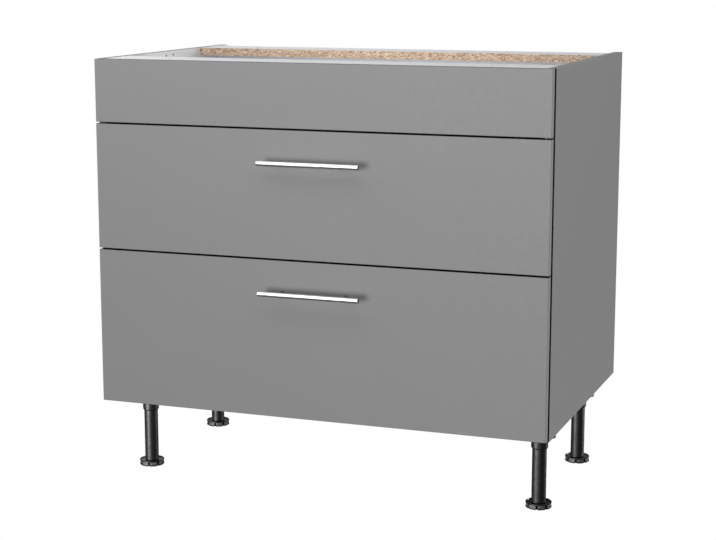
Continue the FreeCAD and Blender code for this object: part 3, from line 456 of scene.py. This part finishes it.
for name in NODES:
    if name.startswith("foot_"):
        lo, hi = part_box(name)
        mid, wide = (lo + hi) / 2, (hi.x - lo.x) / 2
        reach = lambda c, m=mid: math.hypot(c.x - m.x, c.y - m.y)
        # painted light on the waist band
        second(name, FOOT_WAIST_LIT, lambda c, n, w=wide: 0.0026 < c.z < 0.0082 and reach(c) > w - 0.0014 and abs(n.z) < 0.4)
        # painted shade in the notches, in the grooves and on the bottom edge
        second(name, FOOT_RECESS_SHADE, lambda c, n, w=wide: 0.0006 < c.z < 0.0084 and reach(c) < w - 0.0014)
        second(name, FOOT_RECESS_SHADE, lambda c, n: 0.0080 < c.z < 0.0090 or 0.0018 < c.z < 0.0026 or (c.z < 0.001 and abs(n.z) < 0.95))
lo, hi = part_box("back_panel")
second("back_panel", FIBREBOARD, lambda c, n, y=hi.y: near(c.y, y) and n.y > 0.5)


# ------------------------------------------------------------------ black sheet behind the upper seam: painted shade, standing in for the shadow in the gap
def make_strip(name, lo, hi, material, body):
    mesh = bpy.data.meshes.new(name)
    corners = [(x, y, z) for x in (lo[0], hi[0]) for y in (lo[1], hi[1]) for z in (lo[2], hi[2])]
    mesh.from_pydata(corners, [], [(0, 1, 3, 2), (4, 6, 7, 5), (0, 4, 5, 1), (2, 3, 7, 6), (0, 2, 6, 4), (1, 5, 7, 3)])
    mesh.materials.append(material)
    piece = bpy.data.objects.new(name, mesh)
    SCENE.collection.objects.link(piece)
    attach(piece, body)


seam_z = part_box("drawer_front_upper")[1].z
# painted shade: a near-black box in the gap behind the upper seam
make_strip("gap_shade_sheet", (-0.433, FRONT_PLANE - 0.0017, seam_z - 0.0035), (0.433, FRONT_PLANE - 0.0005, seam_z + 0.0080),
           GAP_SHADE_SHEET, "carcass")


# ------------------------------------------------------------------ floor, world and lights
def make_floor():
    mesh = bpy.data.meshes.new("floor")
    half = 60.0
    mesh.from_pydata([(-half, -half, 0), (half, -half, 0), (half, half, 0), (-half, half, 0)], [], [(0, 1, 2, 3)])
    floor = bpy.data.objects.new("floor", mesh)
    SCENE.collection.objects.link(floor)
    g = Graph("floor_pale")
    grey = g.ramp(g.noise(0.6, 2.0), (0.3, (0.160, 0.160, 0.161)), (0.7, (0.166, 0.166, 0.167)))
    matt = g.add("ShaderNodeBsdfDiffuse")
    g.link(grey, matt.inputs["Color"])
    clear = g.add("ShaderNodeBsdfTransparent")
    under = g.add("ShaderNodeNewGeometry").outputs["Backfacing"]
    pick = g.add("ShaderNodeMixShader")
    g.link(under, pick.inputs[0])
    g.link(matt.outputs[0], pick.inputs[1])
    g.link(clear.outputs[0], pick.inputs[2])
    g.link(pick.outputs[0], g.out.inputs["Surface"])
    mesh.materials.append(g.material)
    floor.visible_shadow = False
    floor.visible_camera = False


make_floor()


def make_world():
    world = bpy.data.worlds.new("studio")
    SCENE.world = world
    world.use_nodes = True
    tree = world.node_tree
    tree.nodes.clear()
    out = tree.nodes.new("ShaderNodeOutputWorld")
    path = tree.nodes.new("ShaderNodeLightPath")
    white = tree.nodes.new("ShaderNodeBackground")
    white.inputs["Color"].default_value = (1, 1, 1, 1)
    white.inputs["Strength"].default_value = 1.0
    soft = tree.nodes.new("ShaderNodeBackground")
    soft.inputs["Color"].default_value = (0.98, 0.99, 1.0, 1)
    gloss = tree.nodes.new("ShaderNodeMath")
    gloss.operation = "MULTIPLY_ADD"
    tree.links.new(path.outputs["Is Glossy Ray"], gloss.inputs[0])
    place = tree.nodes.new("ShaderNodeTexCoord")
    axes = tree.nodes.new("ShaderNodeSeparateXYZ")
    tree.links.new(place.outputs["Generated"], axes.inputs[0])
    dome = tree.nodes.new("ShaderNodeMapRange")
    dome.interpolation_type = "SMOOTHSTEP"
    tree.links.new(axes.outputs["Z"], dome.inputs["Value"])
    dome.inputs["From Min"].default_value = 0.25
    dome.inputs["From Max"].default_value = 0.70
    dome.inputs["To Min"].default_value = GLOSSY_LOW
    dome.inputs["To Max"].default_value = GLOSSY_TOP
    tree.links.new(dome.outputs[0], gloss.inputs[1])
    gloss.inputs[2].default_value = AMBIENT
    tree.links.new(gloss.outputs[0], soft.inputs["Strength"])
    pick = tree.nodes.new("ShaderNodeMixShader")
    tree.links.new(path.outputs["Is Camera Ray"], pick.inputs[0])
    tree.links.new(soft.outputs[0], pick.inputs[1])
    tree.links.new(white.outputs[0], pick.inputs[2])
    tree.links.new(pick.outputs[0], out.inputs["Surface"])


AMBIENT, GLOSSY_LOW, GLOSSY_TOP = 0.11, 0.02, 0.88
make_world()


def aim(obj, direction):
    obj.rotation_mode = "QUATERNION"
    obj.rotation_quaternion = Vector(direction).to_track_quat("-Z", "Y")


def receivers(light, names):
    """Lets a light reach these nodes alone."""
    group = bpy.data.collections.new(light.name + "_receivers")
    for node in names:
        group.objects.link(NODES[node])
    light.light_linking.receiver_collection = group


def sun(name, azimuth, elevation, strength, size, only=None):
    """A distant soft light. Azimuth 0 is straight in front of the cabinet, 90 on its right."""
    data = bpy.data.lights.new(name, "SUN")
    data.energy, data.angle = strength, math.radians(size)
    obj = bpy.data.objects.new(name, data)
    a, e = math.radians(azimuth), math.radians(elevation)
    aim(obj, (-math.sin(a) * math.cos(e), math.cos(a) * math.cos(e), -math.sin(e)))
    SCENE.collection.objects.link(obj)
    if only is not None:
        receivers(obj, only)


def softbox(name, place, target, width, height, watts, only=None):
    data = bpy.data.lights.new(name, "AREA")
    data.shape, data.size, data.size_y, data.energy = "RECTANGLE", width, height, watts
    obj = bpy.data.objects.new(name, data)
    obj.location = place
    obj.visible_camera = False
    if only is not None:
        receivers(obj, only)
    aim(obj, Vector(target) - Vector(place))
    SCENE.collection.objects.link(obj)


LEGS = [name for name in NODES if name.startswith(("leg_", "foot_"))]
REST = [name for name in NODES if name not in LEGS]
sun("key_front", -10.0, -1.0, 1.78, 29.0)
sun("side_right", 112.0, 0.0, 2.04, 24.0, REST)
sun("side_left", -104.0, 2.0, 0.75, 20.0, REST)
softbox("top_front", (-0.1, -0.95, 1.50), (0.0, -0.25, 0.80), 2.4, 0.5, 6.1)
softbox("overhead", (-0.35, 0.55, 2.3), (-0.2, 0.25, 0.8), 1.5, 1.1, 18.0)
softbox("back_left", (-2.4, 2.2, 1.5), (-0.3, 0.2, 0.83), 1.6, 1.2, 8.0)
softbox("bay", (0.0, -0.13, 0.80), (0.0, 0.26, 0.775), 0.60, 0.03, 0.7)
softbox("legs_left", (-1.45, -2.45, 0.12), (0.0, -0.1, 0.08), 1.1, 0.26, 150.0, LEGS)
softbox("legs_rim", (2.2, 1.45, 0.12), (0.1, 0.0, 0.08), 0.5, 0.26, 60.0, LEGS)
